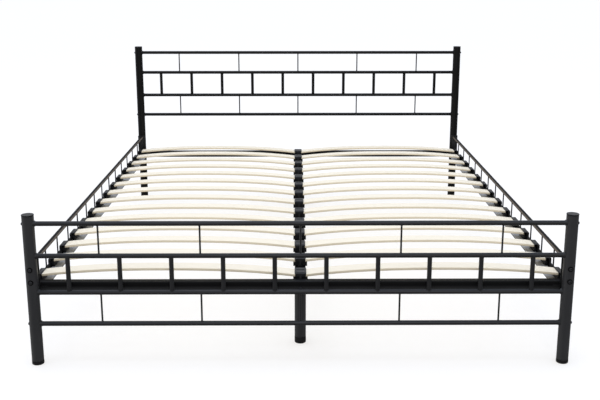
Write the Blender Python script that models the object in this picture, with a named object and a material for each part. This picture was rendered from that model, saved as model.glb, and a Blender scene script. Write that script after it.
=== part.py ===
"""Metal bed frame for a 160 x 200 cm mattress, with a head grid, a foot grid and two rows of sprung slats.

The frame stands on the floor at z = 0. X runs across the bed, Y along it with the foot end at -Y and the
head end at +Y, and the origin is on the floor under the middle. Left is -X.
"""

from math import cos, pi, radians, sin

import bmesh
import bpy
from mathutils import Matrix, Vector

# Posts: round steel tube, with a plastic cap pushed in on top and a plastic foot below.
POST_SPACING_X = 1.630
POST_SPACING_Y = 2.056
POST_RADIUS = 0.0180
TUBE_WALL = 0.0015
FOOT_POST_TOP = 0.480
HEAD_POST_TOP = 0.794
CAP_RADIUS = 0.0185
CAP_HEIGHT = 0.0040
PAD_RADIUS = 0.0187
PAD_HEIGHT = 0.0120
PLUG_DEPTH = 0.0140
EDGE_CHAMFER = 0.0012

# Head and foot grids: four rails, ten bars between the middle two, and five thin rods in each outer row.
FOOT_RAIL_HEIGHTS = (0.1315, 0.2330, 0.3495, 0.4510)
HEAD_RAIL_LIFT = 0.3125
RAIL_RADIUS = 0.0071
BAR_RADIUS = 0.0067
BAR_PITCH = 0.1565
BAR_COUNT = 10
ROD_RADIUS = 0.0025
GRID_ROD_X = (-0.6085, -0.3030, 0.0, 0.3030, 0.6085)

# Side rails: a top tube and an angle iron, joined by a rod in each gap between two slats.
SIDE_TUBE_HEIGHT = 0.3247
ANGLE_TOP = 0.2620
FLANGE_TOP = 0.2460
ANGLE_THICKNESS = 0.0030
ANGLE_WIDTH = 0.0405
END_PLATE_WIDTH = 0.0360
END_PLATE_THICKNESS = 0.0040
END_PLATE_LOW = 0.2360
END_PLATE_HIGH = 0.3350

# Bolts that hold a side rail to a post, in pairs, and the smaller ones that hold the grids.
SIDE_BOLT_HEIGHTS = (0.2700, 0.3100)
SIDE_BOLT_RADIUS = 0.0040
SIDE_BOLT_HEAD_RADIUS = 0.0075
SIDE_BOLT_HEAD_HEIGHT = 0.0045
SIDE_BOLT_LENGTH = 0.0480
NUT_PLATE_WIDTH = 0.0180
NUT_PLATE_THICKNESS = 0.0040
NUT_PLATE_MARGIN = 0.0060
GRID_BOLT_RADIUS = 0.0030
HOLE_CLEARANCE = 0.0004

# Cross rails at the head and the foot, and the centre beam between them.
CROSS_DEPTH = 0.0280
CROSS_LOW = 0.2280
CROSS_HIGH = 0.2580
BEAM_WIDTH = 0.0350
BEAM_HEIGHT = 0.0250
CORNER_RADIUS = 0.0025

# Centre legs, one near each end of the beam.
LEG_INSET = 0.1600
LEG_PAD_HEIGHT = 0.0220
LEG_PLATE_LENGTH = 0.0600
LEG_PLATE_THICKNESS = 0.0030

# Slats: bent birch, in two columns.
SLAT_COUNT = 14
SLAT_PITCH = 0.1447
SLAT_WIDTH = 0.0530
SLAT_THICKNESS = 0.0080
SLAT_INNER_X = 0.0025
SLAT_OUTER_X = 0.8112
SLAT_END_HEIGHT = 0.2642
SLAT_END_TILT = 0.0018
SLAT_CROWN = 0.0213
SLAT_FLATNESS = 2.4
SLAT_SEGMENTS = 8

# Slat holders: moulded plastic, clipped over the angle iron and seated on the beam.
HOLDER_LENGTH = 0.0570
SIDE_POCKET_LOW = 0.2616
SIDE_POCKET_HIGH = 0.2716
CENTRE_POCKET_LOW = 0.2580
CENTRE_POCKET_HIGH = 0.2690
RUNNER_HEIGHT = 0.0025

# Touching pieces stay this far apart.
GAP = 0.0003
TUBE_SIDES = 16
RAIL_SIDES = 12
BAR_SIDES = 8
ROD_SIDES = 6
SMOOTH_ANGLE = radians(40)


def clear_scene():
    for item in list(bpy.data.objects):
        bpy.data.objects.remove(item, do_unlink=True)


def make_material(name, colour, roughness, metallic=0.0):
    material = bpy.data.materials.new(name)
    material.use_nodes = True
    shader = material.node_tree.nodes["Principled BSDF"]
    shader.inputs["Base Color"].default_value = (*colour, 1.0)
    shader.inputs["Roughness"].default_value = roughness
    shader.inputs["Metallic"].default_value = metallic
    material.diffuse_color = (*colour, 1.0)
    return material


def add_object(name, bm, material, location=(0.0, 0.0, 0.0)):
    bmesh.ops.recalc_face_normals(bm, faces=bm.faces)
    mesh = bpy.data.meshes.new(name)
    bm.to_mesh(mesh)
    bm.free()
    mesh.materials.append(material)
    mesh.shade_smooth()
    mesh.set_sharp_from_angle(angle=SMOOTH_ANGLE)
    return place_mesh(name, mesh, location)


def place_mesh(name, mesh, location):
    item = bpy.data.objects.new(name, mesh)
    item.location = location
    bpy.context.scene.collection.objects.link(item)
    return item


def add_box(bm, low, high):
    size = Vector(high) - Vector(low)
    centre = (Vector(high) + Vector(low)) / 2
    matrix = Matrix.Translation(centre) @ Matrix.Diagonal((*size, 1.0))
    return bmesh.ops.create_cube(bm, size=1.0, matrix=matrix)["verts"]


def add_rod(bm, start, end, radius, sides):
    """A closed round rod from start to end, with a flat of its outline up when it lies level."""
    start, end = Vector(start), Vector(end)
    axis = end - start
    turn = axis.to_track_quat("Z", "Y").to_matrix().to_4x4()
    half_step = Matrix.Rotation(pi / sides, 4, "Z")
    matrix = Matrix.Translation((start + end) / 2) @ turn @ half_step
    bmesh.ops.create_cone(
        bm, cap_ends=True, segments=sides, radius1=radius, radius2=radius, depth=axis.length, matrix=matrix
    )


def add_turned(bm, profile, sides, closed):
    """Turns a profile of (radius, height) points about Z. An open profile starts and ends on the axis."""
    verts = [bm.verts.new((radius, 0.0, height)) for radius, height in profile]
    edges = [bm.edges.new(pair) for pair in zip(verts, verts[1:])]
    if closed:
        edges.append(bm.edges.new((verts[-1], verts[0])))
    bmesh.ops.spin(
        bm, geom=verts + edges, cent=(0, 0, 0), axis=(0, 0, 1), angle=2 * pi, steps=sides, use_merge=True
    )
    bmesh.ops.remove_doubles(bm, verts=bm.verts, dist=1e-6)


def add_prism(bm, outline, start_y, end_y):
    """A closed outline of (x, z) points, drawn out along Y."""
    verts = [bm.verts.new((x, start_y, z)) for x, z in outline]
    face = bm.faces.new(verts)
    drawn = bmesh.ops.extrude_face_region(bm, geom=[face])["geom"]
    moved = [item for item in drawn if isinstance(item, bmesh.types.BMVert)]
    bmesh.ops.translate(bm, verts=moved, vec=(0, end_y - start_y, 0))


def box_tube(width, depth, length):
    """A rectangular tube along Y, centred on the origin, with rounded corners and open ends."""
    bm = bmesh.new()
    add_box(bm, (-width / 2, -length / 2, -depth / 2), (width / 2, length / 2, depth / 2))
    along = [e for e in bm.edges if abs(e.verts[0].co.y - e.verts[1].co.y) > length / 2]
    bmesh.ops.bevel(
        bm, geom=along, offset=CORNER_RADIUS, segments=2, profile=0.5, affect="EDGES", material=-1
    )
    bore = bmesh.new()
    half_width = width / 2 - TUBE_WALL
    half_depth = depth / 2 - TUBE_WALL
    add_box(bore, (-half_width, -length, -half_depth), (half_width, length, half_depth))
    return combine(bm, bore, "DIFFERENCE")


def combine(bm, tool, operation):
    """Joins or cuts bm by tool, and returns the result as a new bmesh."""
    items = []
    for part in (bm, tool):
        bmesh.ops.recalc_face_normals(part, faces=part.faces)
        mesh = bpy.data.meshes.new("combine")
        part.to_mesh(mesh)
        part.free()
        items.append(place_mesh("combine", mesh, (0, 0, 0)))
    modifier = items[0].modifiers.new("combine", "BOOLEAN")
    modifier.operation = operation
    modifier.solver = "EXACT"
    modifier.object = items[1]
    graph = bpy.context.evaluated_depsgraph_get()
    result = bmesh.new()
    result.from_object(items[0], graph)
    bmesh.ops.remove_doubles(result, verts=result.verts, dist=1e-6)
    for item in items:
        mesh = item.data
        bpy.data.objects.remove(item, do_unlink=True)
        bpy.data.meshes.remove(mesh)
    return result


def rotate(bm, angle, axis):
    bmesh.ops.rotate(bm, verts=bm.verts, cent=(0, 0, 0), matrix=Matrix.Rotation(angle, 3, axis))


def move(bm, offset):
    bmesh.ops.translate(bm, verts=bm.verts, vec=offset)


def flip_x(bm):
    bmesh.ops.scale(bm, verts=bm.verts, vec=(-1, 1, 1))


def rail_heights(end):
    lift = HEAD_RAIL_LIFT if end == "head" else 0.0
    return [height + lift for height in FOOT_RAIL_HEIGHTS]


def end_y(end):
    return POST_SPACING_Y / 2 if end == "head" else -POST_SPACING_Y / 2


def outward(end):
    return 1.0 if end == "head" else -1.0


def build_post(end, side, sign, material):
    """A round tube with two holes along Y for the side rail and two along X for the grid."""
    top = HEAD_POST_TOP if end == "head" else FOOT_POST_TOP
    low, high = PAD_HEIGHT + GAP, top - CAP_HEIGHT - GAP
    inner = POST_RADIUS - TUBE_WALL
    bm = bmesh.new()
    add_turned(bm, [(inner, low), (POST_RADIUS, low), (POST_RADIUS, high), (inner, high)], TUBE_SIDES, True)
    drill = bmesh.new()
    reach = 2 * POST_RADIUS
    for height in SIDE_BOLT_HEIGHTS:
        radius = SIDE_BOLT_RADIUS + HOLE_CLEARANCE
        add_rod(drill, (0, -reach, height), (0, reach, height), radius, ROD_SIDES)
    heights = rail_heights(end)
    for height in (heights[0], heights[-1]):
        radius = GRID_BOLT_RADIUS + HOLE_CLEARANCE
        add_rod(drill, (-reach, 0, height), (reach, 0, height), radius, ROD_SIDES)
    bm = combine(bm, drill, "DIFFERENCE")
    place = (sign * POST_SPACING_X / 2, end_y(end), 0)
    add_object(f"{end}_post_{side}", bm, material, place)


def build_cap(end, side, sign, material):
    top = HEAD_POST_TOP if end == "head" else FOOT_POST_TOP
    seat = top - CAP_HEIGHT
    plug = POST_RADIUS - TUBE_WALL - GAP
    profile = [
        (0, seat - PLUG_DEPTH),
        (plug, seat - PLUG_DEPTH),
        (plug, seat),
        (CAP_RADIUS, seat),
        (CAP_RADIUS, top - EDGE_CHAMFER),
        (CAP_RADIUS - EDGE_CHAMFER, top),
        (0, top),
    ]
    bm = bmesh.new()
    add_turned(bm, profile, TUBE_SIDES, False)
    place = (sign * POST_SPACING_X / 2, end_y(end), 0)
    add_object(f"{end}_post_cap_{side}", bm, material, place)


def pad_mesh(height):
    """A plastic foot: a collar that carries the tube, and a plug inside it."""
    plug = POST_RADIUS - TUBE_WALL - GAP
    profile = [
        (0, 0),
        (PAD_RADIUS - EDGE_CHAMFER, 0),
        (PAD_RADIUS, EDGE_CHAMFER),
        (PAD_RADIUS, height),
        (plug, height),
        (plug, height + PLUG_DEPTH),
        (0, height + PLUG_DEPTH),
    ]
    bm = bmesh.new()
    add_turned(bm, profile, TUBE_SIDES, False)
    return bm


def build_grid(end, material):
    """Four rails welded to ten bars and ten rods, with the rail ends shaped to the round posts."""
    y = end_y(end)
    heights = rail_heights(end)
    half = POST_SPACING_X / 2
    rails = bmesh.new()
    for height in heights:
        add_rod(rails, (-half, y, height), (half, y, height), RAIL_RADIUS, RAIL_SIDES)
    uprights = bmesh.new()
    for index in range(BAR_COUNT):
        x = (index - (BAR_COUNT - 1) / 2) * BAR_PITCH
        add_rod(uprights, (x, y, heights[1]), (x, y, heights[2]), BAR_RADIUS, BAR_SIDES)
    for x in GRID_ROD_X:
        add_rod(uprights, (x, y, heights[0]), (x, y, heights[1]), ROD_RADIUS, ROD_SIDES)
        add_rod(uprights, (x, y, heights[2]), (x, y, heights[3]), ROD_RADIUS, ROD_SIDES)
    bm = combine(rails, uprights, "UNION")
    posts = bmesh.new()
    for x in (-half, half):
        top = HEAD_POST_TOP
        add_rod(posts, (x, y, 0), (x, y, top), POST_RADIUS + GAP, 2 * TUBE_SIDES)
    bm = combine(bm, posts, "DIFFERENCE")
    name = "headboard_grid" if end == "head" else "footboard_grid"
    add_object(name, bm, material)


def side_rail_mesh():
    """The left side rail: angle iron, top tube, thirteen rods and an end plate at each end."""
    x = -POST_SPACING_X / 2
    reach = POST_SPACING_Y / 2 - POST_RADIUS - GAP
    plate_inner = reach - END_PLATE_THICKNESS
    overlap = END_PLATE_THICKNESS / 2
    leg_outer = x - ANGLE_THICKNESS / 2
    leg_inner = x + ANGLE_THICKNESS / 2
    flange_inner = leg_outer + ANGLE_WIDTH
    flange_low = FLANGE_TOP - ANGLE_THICKNESS
    long_parts = bmesh.new()
    angle = [
        (leg_outer, flange_low),
        (flange_inner, flange_low),
        (flange_inner, FLANGE_TOP),
        (leg_inner, FLANGE_TOP),
        (leg_inner, ANGLE_TOP),
        (leg_outer, ANGLE_TOP),
    ]
    length_end = plate_inner + overlap
    add_prism(long_parts, angle, -length_end, length_end)
    start = (x, -length_end, SIDE_TUBE_HEIGHT)
    finish = (x, length_end, SIDE_TUBE_HEIGHT)
    add_rod(long_parts, start, finish, RAIL_RADIUS, RAIL_SIDES)
    cross_parts = bmesh.new()
    for index in range(SLAT_COUNT - 1):
        y = (index - (SLAT_COUNT - 2) / 2) * SLAT_PITCH
        low = (x, y, ANGLE_TOP - ROD_RADIUS)
        add_rod(cross_parts, low, (x, y, SIDE_TUBE_HEIGHT), ROD_RADIUS, ROD_SIDES)
    for sign in (-1, 1):
        near, far = sorted((sign * plate_inner, sign * reach))
        low = (x - END_PLATE_WIDTH / 2, near, END_PLATE_LOW)
        add_box(cross_parts, low, (x + END_PLATE_WIDTH / 2, far, END_PLATE_HIGH))
    bm = combine(long_parts, cross_parts, "UNION")
    cuts = bmesh.new()
    radius = SIDE_BOLT_RADIUS + HOLE_CLEARANCE
    margin = 0.005
    for sign in (-1, 1):
        for height in SIDE_BOLT_HEIGHTS:
            near = (x, sign * (plate_inner - margin), height)
            add_rod(cuts, near, (x, sign * (reach + margin), height), radius, ROD_SIDES)
        notch_end = plate_inner - CROSS_DEPTH - 3 * GAP
        near, far = sorted((sign * notch_end, sign * plate_inner))
        low = (leg_inner, near, flange_low - margin)
        add_box(cuts, low, (flange_inner + margin, far, FLANGE_TOP + margin))
    return combine(bm, cuts, "DIFFERENCE")


def build_side_rails(material):
    add_object("side_rail_left", side_rail_mesh(), material)
    bm = side_rail_mesh()
    flip_x(bm)
    add_object("side_rail_right", bm, material)


def build_side_bolts(end, side, sign, material):
    """Two bolts through a post and the side rail's end plate, into the nut plate that they share."""
    out = outward(end)
    x = sign * POST_SPACING_X / 2
    y = end_y(end)
    head_inner = y + out * (POST_RADIUS + GAP)
    head_outer = head_inner + out * SIDE_BOLT_HEAD_HEIGHT
    tip = head_inner - out * SIDE_BOLT_LENGTH
    plate_outer = y - out * (POST_RADIUS + 2 * GAP + END_PLATE_THICKNESS)
    plate_inner = plate_outer - out * NUT_PLATE_THICKNESS
    bolts = bmesh.new()
    for height in SIDE_BOLT_HEIGHTS:
        add_rod(bolts, (x, tip, height), (x, head_inner + out * GAP, height), SIDE_BOLT_RADIUS, ROD_SIDES)
    others = bmesh.new()
    for height in SIDE_BOLT_HEIGHTS:
        ends = (x, head_inner, height), (x, head_outer, height)
        add_rod(others, *ends, SIDE_BOLT_HEAD_RADIUS, RAIL_SIDES)
    near, far = sorted((plate_outer, plate_inner))
    low = SIDE_BOLT_HEIGHTS[0] - NUT_PLATE_MARGIN
    high = SIDE_BOLT_HEIGHTS[1] + NUT_PLATE_MARGIN
    half = NUT_PLATE_WIDTH / 2
    add_box(others, (x - half, near, low), (x + half, far, high))
    bm = combine(bolts, others, "UNION")
    add_object(f"{end}_rail_bolts_{side}", bm, material)


def build_cross_rail(end, material):
    """A rectangular tube between the side rails, just inside the posts."""
    half_length = POST_SPACING_X / 2 - ANGLE_THICKNESS / 2 - GAP
    bm = box_tube(CROSS_DEPTH, CROSS_HIGH - CROSS_LOW, 2 * half_length)
    rotate(bm, pi / 2, "Z")
    inset = POST_RADIUS + END_PLATE_THICKNESS + 2 * GAP + CROSS_DEPTH / 2
    y = end_y(end) - outward(end) * inset
    add_object(f"{end}_cross_rail", bm, material, (0, y, (CROSS_HIGH + CROSS_LOW) / 2))


def build_centre_beam(material):
    """A rectangular tube from cross rail to cross rail."""
    inset = POST_RADIUS + END_PLATE_THICKNESS + CROSS_DEPTH + 3 * GAP
    half_length = POST_SPACING_Y / 2 - inset
    bm = box_tube(BEAM_WIDTH, BEAM_HEIGHT, 2 * half_length)
    add_object("centre_beam", bm, material, (0, 0, FLANGE_TOP - BEAM_HEIGHT / 2))


def build_centre_leg(end, paint, plastic):
    """A round tube welded to a plate under the beam, standing on a plastic foot."""
    y = end_y(end) - outward(end) * LEG_INSET
    plate_high = FLANGE_TOP - BEAM_HEIGHT - GAP
    plate_low = plate_high - LEG_PLATE_THICKNESS
    low, high = LEG_PAD_HEIGHT + GAP, plate_low + LEG_PLATE_THICKNESS / 2
    inner = POST_RADIUS - TUBE_WALL
    tube = bmesh.new()
    add_turned(tube, [(inner, low), (POST_RADIUS, low), (POST_RADIUS, high), (inner, high)], TUBE_SIDES, True)
    plate = bmesh.new()
    half_x, half_y = POST_RADIUS + GAP, LEG_PLATE_LENGTH / 2
    add_box(plate, (-half_x, -half_y, plate_low), (half_x, half_y, plate_high))
    add_object(f"{end}_centre_leg", combine(tube, plate, "UNION"), paint, (0, y, 0))
    add_object(f"{end}_centre_leg_pad", pad_mesh(LEG_PAD_HEIGHT), plastic, (0, y, 0))


def slat_height(x):
    """Height of a slat's middle line at a distance x from the beam's centre line."""
    middle = (SLAT_INNER_X + SLAT_OUTER_X) / 2
    half = (SLAT_OUTER_X - SLAT_INNER_X) / 2
    reach = (x - middle) / half
    return SLAT_END_HEIGHT + SLAT_END_TILT * reach + SLAT_CROWN * (1 - abs(reach) ** SLAT_FLATNESS)


def slat_mesh(sign, name, material):
    """One bent slat at y = 0, on the side given by sign."""
    step = (SLAT_OUTER_X - SLAT_INNER_X) / SLAT_SEGMENTS
    places = [SLAT_INNER_X + step * index for index in range(SLAT_SEGMENTS + 1)]
    upper = [(sign * x, slat_height(x) + SLAT_THICKNESS / 2) for x in places]
    lower = [(sign * x, slat_height(x) - SLAT_THICKNESS / 2) for x in places]
    bm = bmesh.new()
    add_prism(bm, upper + lower[::-1], -SLAT_WIDTH / 2, SLAT_WIDTH / 2)
    bmesh.ops.recalc_face_normals(bm, faces=bm.faces)
    mesh = bpy.data.meshes.new(name)
    bm.to_mesh(mesh)
    bm.free()
    mesh.materials.append(material)
    mesh.shade_smooth()
    mesh.set_sharp_from_angle(angle=SMOOTH_ANGLE)
    return mesh


def slat_places():
    return [(index - (SLAT_COUNT - 1) / 2) * SLAT_PITCH for index in range(SLAT_COUNT)]


def build_slats(material):
    for side, sign in (("left", -1), ("right", 1)):
        mesh = slat_mesh(sign, f"slat_{side}", material)
        for number, y in enumerate(slat_places(), start=1):
            place_mesh(f"slat_{side}_{number:02d}", mesh, (0, y, 0))


def side_holder_outline():
    """The left holder seen along Y: it clips over the angle's upright leg and takes a slat end."""
    x = -POST_SPACING_X / 2
    leg = ANGLE_THICKNESS / 2 + GAP
    low = FLANGE_TOP + GAP
    mouth = x + 0.0125
    return [
        (x - 0.0065, FLANGE_TOP + 0.0060),
        (x - leg, FLANGE_TOP + 0.0060),
        (x - leg, ANGLE_TOP + GAP),
        (x + leg, ANGLE_TOP + GAP),
        (x + leg, low),
        (mouth + 0.0020, low),
        (mouth + 0.0020, SIDE_POCKET_LOW),
        (-SLAT_OUTER_X - GAP, SIDE_POCKET_LOW),
        (-SLAT_OUTER_X - GAP, SIDE_POCKET_HIGH),
        (mouth, SIDE_POCKET_HIGH),
        (mouth, SIDE_POCKET_HIGH + 0.0010),
        (x + 0.0065, SIDE_POCKET_HIGH + 0.0022),
        (x - 0.0035, SIDE_POCKET_HIGH + 0.0022),
        (x - 0.0065, SIDE_POCKET_HIGH - 0.0011),
    ]


def centre_holder_outline():
    """The double holder seen along Y: a broad foot, a web between two slat ends, and a cover."""
    low = FLANGE_TOP + GAP
    web, cover, foot = SLAT_INNER_X - GAP, 0.0190, 0.0220
    right = [
        (foot, low),
        (foot, CENTRE_POCKET_LOW),
        (web, CENTRE_POCKET_LOW),
        (web, CENTRE_POCKET_HIGH),
        (cover, CENTRE_POCKET_HIGH),
        (cover, CENTRE_POCKET_HIGH + 0.0025),
    ]
    left = [(-x, z) for x, z in reversed(right)]
    return right + left


def holder_row(outline, runner_x):
    """Fourteen holders along Y, joined by a low runner between them."""
    low = FLANGE_TOP + GAP
    blocks = bmesh.new()
    for y in slat_places():
        add_prism(blocks, outline, y - HOLDER_LENGTH / 2, y + HOLDER_LENGTH / 2)
    runner = bmesh.new()
    end = slat_places()[-1]
    add_box(runner, (runner_x[0], -end, low), (runner_x[1], end, low + RUNNER_HEIGHT))
    return combine(blocks, runner, "UNION")


def build_holders(material):
    x = -POST_SPACING_X / 2
    side_runner = (x + 0.0040, x + 0.0100)
    add_object("slat_holders_left", holder_row(side_holder_outline(), side_runner), material)
    bm = holder_row(side_holder_outline(), side_runner)
    flip_x(bm)
    add_object("slat_holders_right", bm, material)
    add_object("slat_holders_centre", holder_row(centre_holder_outline(), (-0.0060, 0.0060)), material)


def build():
    clear_scene()
    paint = make_material("black_powder_coat", (0.022, 0.022, 0.024), 0.42)
    plastic = make_material("black_plastic", (0.018, 0.018, 0.020), 0.50)
    screws = make_material("black_zinc", (0.030, 0.030, 0.032), 0.35, 0.8)
    birch = make_material("birch", (0.86, 0.74, 0.56), 0.50)
    for end in ("foot", "head"):
        for side, sign in (("left", -1), ("right", 1)):
            build_post(end, side, sign, paint)
            build_cap(end, side, sign, plastic)
            place = (sign * POST_SPACING_X / 2, end_y(end), 0)
            add_object(f"{end}_post_pad_{side}", pad_mesh(PAD_HEIGHT), plastic, place)
            build_side_bolts(end, side, sign, screws)
        build_grid(end, paint)
        build_cross_rail(end, paint)
        build_centre_leg(end, paint, plastic)
    build_side_rails(paint)
    build_centre_beam(paint)
    build_slats(birch)
    build_holders(plastic)


build()
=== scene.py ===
"""The metal bed frame's finished pieces and their materials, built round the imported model."""

from math import cos, pi, radians, sin, sqrt

import bmesh
import bpy
from mathutils import Matrix, Vector


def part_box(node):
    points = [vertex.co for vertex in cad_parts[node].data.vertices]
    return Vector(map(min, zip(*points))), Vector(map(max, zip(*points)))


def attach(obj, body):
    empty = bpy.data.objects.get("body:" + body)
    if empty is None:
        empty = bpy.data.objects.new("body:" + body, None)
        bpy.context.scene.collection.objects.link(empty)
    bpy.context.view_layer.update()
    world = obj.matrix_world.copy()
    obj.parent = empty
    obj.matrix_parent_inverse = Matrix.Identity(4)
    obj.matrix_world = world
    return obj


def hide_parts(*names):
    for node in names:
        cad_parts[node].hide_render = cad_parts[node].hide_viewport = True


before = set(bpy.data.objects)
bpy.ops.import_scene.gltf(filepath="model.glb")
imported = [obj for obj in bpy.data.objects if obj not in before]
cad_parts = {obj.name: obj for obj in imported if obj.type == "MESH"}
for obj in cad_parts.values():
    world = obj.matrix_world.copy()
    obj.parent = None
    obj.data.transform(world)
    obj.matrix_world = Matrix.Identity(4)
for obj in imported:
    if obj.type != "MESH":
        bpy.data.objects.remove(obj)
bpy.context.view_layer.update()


# ---- Posts -----------------------------------------------------------------------------------------------
# Four lengths of welded round steel tube, cut square and deburred, then powder coated satin black. The two
# at the head are taller. Everything else is bolted or plugged into them.

ENDS = ("foot", "head")
SIDES = ("left", "right")
TUBE_WALL = 0.0015
DEBURR = 0.0004
COAT_BUILD = 0.0004
POST_STEPS = 48
CREASE = radians(35)


class Wire:
    """One output in a material's nodes. Arithmetic on wires adds Math nodes."""

    def __init__(self, tree, output=None):
        self.tree = tree
        self.output = output

    def node(self, kind, inputs, settings=None, out=0):
        made = self.tree.nodes.new(kind)
        for key, value in (settings or {}).items():
            setattr(made, key, value)
        self.feed(made, inputs)
        return Wire(self.tree, made.outputs[out])

    def feed(self, target, inputs):
        for key, value in inputs.items():
            if isinstance(value, Wire):
                self.tree.links.new(value.output, target.inputs[key])
            else:
                target.inputs[key].default_value = value

    def math(self, operation, first, second):
        return self.node("ShaderNodeMath", {0: first, 1: second}, {"operation": operation})

    def mix(self, factor, first, second):
        inputs = {"Factor": factor, 6: first, 7: second}
        return self.node("ShaderNodeMix", inputs, {"data_type": "RGBA"}, out=2)

    def stretch(self, scale):
        """This vector, multiplied part by part."""
        return self.node("ShaderNodeVectorMath", {0: self, 1: scale}, {"operation": "MULTIPLY"})

    def part(self, axis):
        """One part of this vector: X, Y or Z."""
        return self.node("ShaderNodeSeparateXYZ", {"Vector": self}, out=axis)

    def noise(self, scale, detail, roughness=0.5):
        inputs = {"Vector": self, "Scale": scale, "Detail": detail, "Roughness": roughness}
        return self.node("ShaderNodeTexNoise", inputs)

    def ramp(self, low, high):
        """This value, spread so that low becomes 0 and high becomes 1."""
        inputs = {"Value": self, "From Min": low, "From Max": high, "To Min": 0.0, "To Max": 1.0}
        return self.node("ShaderNodeMapRange", inputs)

    def fraction(self):
        return self.math("FRACT", self, 0.0)

    def unsigned(self):
        return self.math("ABSOLUTE", self, 0.0)

    def bump(self, strength, distance):
        return self.node("ShaderNodeBump", {"Height": self, "Strength": strength, "Distance": distance})

    def __add__(self, other):
        return self.math("ADD", self, other)

    __radd__ = __add__

    def __sub__(self, other):
        return self.math("SUBTRACT", self, other)

    def __rsub__(self, other):
        return self.math("SUBTRACT", other, self)

    def __mul__(self, other):
        return self.math("MULTIPLY", self, other)

    __rmul__ = __mul__


def start_material(name):
    """A new material, its surface shader, and its place on the object as a wire."""
    material = bpy.data.materials.new(name)
    material.use_nodes = True
    tree = material.node_tree
    place = Wire(tree).node("ShaderNodeTexCoord", {}, out="Object")
    return material, tree.nodes["Principled BSDF"], place


def grey(value, blue):
    """A grey of this value, with its blue raised by the share given."""
    return (value, value, value * blue, 1)


def powder_coat(name, black, shine):
    """Satin black: a fine orange peel, a faint cloudiness, and a little more shine where hands rub it."""
    material, surface, place = start_material(name)
    cloud = place.noise(14.0, 3.0)
    rub = place.noise(3.5, 2.0).ramp(0.35, 0.70)
    peel = place.noise(700.0, 2.0)
    speck = place.noise(2600.0, 1.0).ramp(0.60, 0.80)
    tone = place.mix(cloud, grey(black * 0.85, 1.06), grey(black * 1.2, 1.05))
    tone = place.mix(speck * 0.35, tone, grey(black * 2.2, 1.09))
    place.feed(surface, {
        "Base Color": tone,
        "Roughness": 0.33 - rub * 0.05 + cloud * 0.04,
        "Specular IOR Level": shine,
        "Normal": (peel + speck * 0.3).bump(0.10, 0.0002),
    })
    return material


def turned(profile, steps):
    """A bmesh turned about Z from (radius, height) points: a closed ring, or a line from axis to axis."""
    bm = bmesh.new()
    verts = [bm.verts.new((radius, 0, height)) for radius, height in profile]
    edges = [bm.edges.new(pair) for pair in zip(verts, verts[1:])]
    if profile[0][0] > 0:
        edges.append(bm.edges.new((verts[-1], verts[0])))
    bmesh.ops.spin(
        bm, geom=verts + edges, cent=(0, 0, 0), axis=(0, 0, 1), angle=2 * pi, steps=steps, use_merge=True
    )
    bmesh.ops.remove_doubles(bm, verts=bm.verts, dist=1e-6)
    return bm


def arc(centre, radius, start, end, count):
    """Points of a round corner, from one angle to another in degrees."""
    angles = [radians(start + (end - start) * index / count) for index in range(count + 1)]
    return [(centre[0] + radius * cos(a), centre[1] + radius * sin(a)) for a in angles]


def finish_piece(name, bm, materials, nodes=()):
    """Makes the mesh an object on the frame's one body, in place of the CAD nodes named."""
    bmesh.ops.recalc_face_normals(bm, faces=bm.faces)
    mesh = bpy.data.meshes.new(name)
    bm.to_mesh(mesh)
    bm.free()
    for material in materials:
        mesh.materials.append(material)
    mesh.shade_smooth()
    mesh.set_sharp_from_angle(angle=CREASE)
    piece = bpy.data.objects.new(name, mesh)
    bpy.context.scene.collection.objects.link(piece)
    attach(piece, "root")
    if nodes:
        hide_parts(*nodes)


def shift(bm, offset, verts=None):
    bmesh.ops.translate(bm, verts=verts or bm.verts, vec=offset)


def middle(node):
    low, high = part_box(node)
    return (low + high) / 2


def tube_profile(radius, low, high):
    """A tube's wall with both rims deburred."""
    inner = radius - TUBE_WALL
    return [
        (inner + DEBURR, low),
        (radius - DEBURR, low),
        (radius, low + DEBURR),
        (radius, high - DEBURR),
        (radius - DEBURR, high),
        (inner + DEBURR, high),
        (inner, high - DEBURR),
        (inner, low + DEBURR),
    ]


COAT = {
    "foot": powder_coat("black_coat", 0.0180, 0.37),
    # The head end's copy of the same satin black coat is much darker: painted shade, for the head end lying
    # darker than the foot.
    "head": powder_coat("black_coat_head_painted_shade", 0.0032, 0.18),
}
POST = {(end, side): middle(f"{end}_post_{side}") for end in ENDS for side in SIDES}
POST_LOW, POST_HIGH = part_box("foot_post_left")
POST_RADIUS = (POST_HIGH.x - POST_LOW.x) / 2
for end, side in POST:
    low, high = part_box(f"{end}_post_{side}")
    bm = turned(tube_profile(POST_RADIUS + COAT_BUILD, low.z, high.z), POST_STEPS)
    centre = POST[end, side]
    shift(bm, (centre.x, centre.y, 0))
    finish_piece(f"post_tube_{end}_{side}", bm, [COAT[end]], [f"{end}_post_{side}"])


# ---- Post caps -------------------------------------------------------------------------------------------
# Injection-moulded plastic plugs pushed into the tops of the posts. The brim sits on the tube's rim, with a
# shadow groove under it, and the top is flat with a rounded edge.

CAP_ROUND = 0.0011
CAP_GROOVE = 0.0007
CAP_FLAT = 0.72
CAP_DISH = 0.0001
PLUG_GAP = 0.0003


def black_plastic():
    """Moulded black plastic with a fine spark-eroded grain."""
    material, surface, place = start_material("black_plastic")
    grain = place.noise(1500.0, 3.0, 0.6)
    flow = place.noise(30.0, 2.0)
    tone = place.mix(flow, (0.0022, 0.0022, 0.0025, 1), (0.0045, 0.0045, 0.0052, 1))
    place.feed(surface, {
        "Base Color": tone,
        "Roughness": 0.42 + grain * 0.10 + flow * 0.04,
        "Specular IOR Level": 0.24,
        "Normal": grain.bump(0.22, 0.0002),
    })
    return material


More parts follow.
